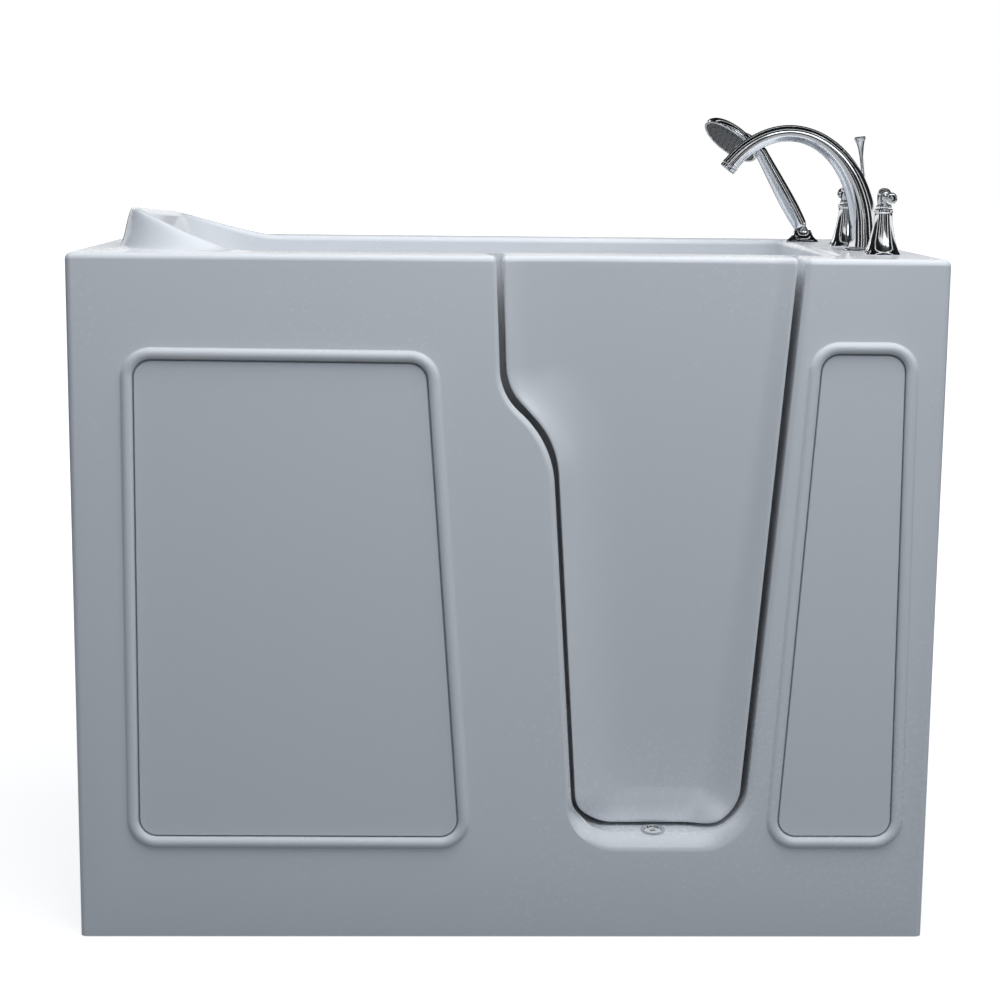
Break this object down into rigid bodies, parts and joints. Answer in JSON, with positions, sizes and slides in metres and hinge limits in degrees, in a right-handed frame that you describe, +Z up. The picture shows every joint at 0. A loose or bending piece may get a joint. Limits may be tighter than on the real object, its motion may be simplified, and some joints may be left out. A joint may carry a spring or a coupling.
{
  "type": "walk-in bathtub with door",
  "caption": "White walk-in soaking tub with an inward-opening scooped door, removable front access panels, raised headrest and chrome deck taps with hand shower.",
  "frame": {"origin": "middle of the bottom of the bounding box, on the floor", "axes": "+X along the tub towards the taps, +Y from the apron to the back, +Z up"},
  "size_m": [1.168, 0.678, 1.1319],
  "materials": {
    "shell": "glossy white acrylic",
    "door_skin": "glossy white acrylic",
    "panel": "glossy white acrylic",
    "foam": "rigid foam",
    "steel_tube": "grey powder coat",
    "foot_rubber": "matt",
    "gasket": "matt",
    "zinc": "zinc plated",
    "hinge_steel": "stainless",
    "chrome": "polished",
    "spray_grey": "grey rubberised",
    "brass": "machined",
    "pvc": "moulded PVC"
  },
  "bodies": {
    "tub": {"tub_shell": "shell", "front_apron": "shell", "panel_catches": "zinc", "bottom_rails": "steel_tube", "cross_rails": "steel_tube", "uprights": "steel_tube", "seat_bearers": "steel_tube", "footwell_bearers": "steel_tube", "levelling_feet": "foot_rubber", "foot_lock_nuts": "zinc", "door_gasket": "gasket", "frame_hinge_leaves": "hinge_steel", "hinge_pins": "zinc", "frame_hinge_screws": "zinc", "latch_keeper": "hinge_steel", "drain_flange": "chrome", "drain_shoe": "pvc", "waste_pipe": "pvc", "overflow_pipe": "pvc", "overflow_plate": "chrome", "threshold_drain": "chrome", "threshold_tube": "pvc", "spout": "chrome", "spout_flange": "chrome", "spout_aerator": "chrome", "spout_shank": "brass", "cold_bell": "chrome", "hot_bell": "chrome", "cold_valve": "brass", "hot_valve": "brass", "deck_lock_nuts": "brass", "shower_collar": "chrome"},
    "door": {"door_outer_skin": "door_skin", "door_core": "foam", "door_inner_skin": "door_skin", "door_hinge_leaves": "hinge_steel", "door_hinge_screws": "zinc", "latch_escutcheon": "chrome"},
    "latch": {"latch_lever": "chrome", "latch_finger": "hinge_steel"},
    "left_panel": {"access_panel_left": "panel", "panel_studs_left": "zinc"},
    "right_panel": {"access_panel_right": "panel", "panel_studs_right": "zinc"},
    "cold_handle": {"cold_lever": "chrome"},
    "hot_handle": {"hot_lever": "chrome"},
    "diverter": {"diverter_knob": "chrome"},
    "handset": {"shower_wand": "chrome", "shower_head": "chrome", "spray_face": "spray_grey"},
    "overflow_handle": {"overflow_knob": "chrome"},
    "plug": {"drain_plug": "chrome"}
  },
  "joints": [
    {"name": "door_swing", "type": "hinge", "parent": "tub", "child": "door", "pos_m": [0.412, -0.226, 0.5], "axis": [0, 0, -1], "range_deg": [0, 88]},
    {"name": "latch_turn", "type": "hinge", "parent": "door", "child": "latch", "pos_m": [0.005, -0.215, 0.83], "axis": [0, 1, 0], "range_deg": [0, 90]},
    {"name": "left_panel_pull", "type": "slide", "parent": "tub", "child": "left_panel", "axis": [0, -1, 0], "range_m": [0, 0.08]},
    {"name": "right_panel_pull", "type": "slide", "parent": "tub", "child": "right_panel", "axis": [0, -1, 0], "range_m": [0, 0.08]},
    {"name": "cold_turn", "type": "hinge", "parent": "tub", "child": "cold_handle", "pos_m": [0.517, -0.203, 0.94], "axis": [0, 0, 1], "range_deg": [0, 90]},
    {"name": "hot_turn", "type": "hinge", "parent": "tub", "child": "hot_handle", "pos_m": [0.517, 0.062, 0.94], "axis": [0, 0, 1], "range_deg": [-90, 0]},
    {"name": "diverter_lift", "type": "slide", "parent": "tub", "child": "diverter", "axis": [-0.1305, 0, 0.9914], "range_m": [0, 0.012]},
    {"name": "handset_lift", "type": "slide", "parent": "tub", "child": "handset", "axis": [-0.5, 0, 0.866], "range_m": [0, 0.12]},
    {"name": "overflow_turn", "type": "hinge", "parent": "tub", "child": "overflow_handle", "pos_m": [0.44, 0, 0.8], "axis": [1, 0, 0], "range_deg": [0, 91]},
    {"name": "plug_lift", "type": "slide", "parent": "tub", "child": "plug", "axis": [0, 0, 1], "range_m": [0, 0.01]}
  ],
  "couplings": [
    {"joint": "overflow_turn", "follows": "plug_lift", "rad_per_m": 157.08}
  ]
}
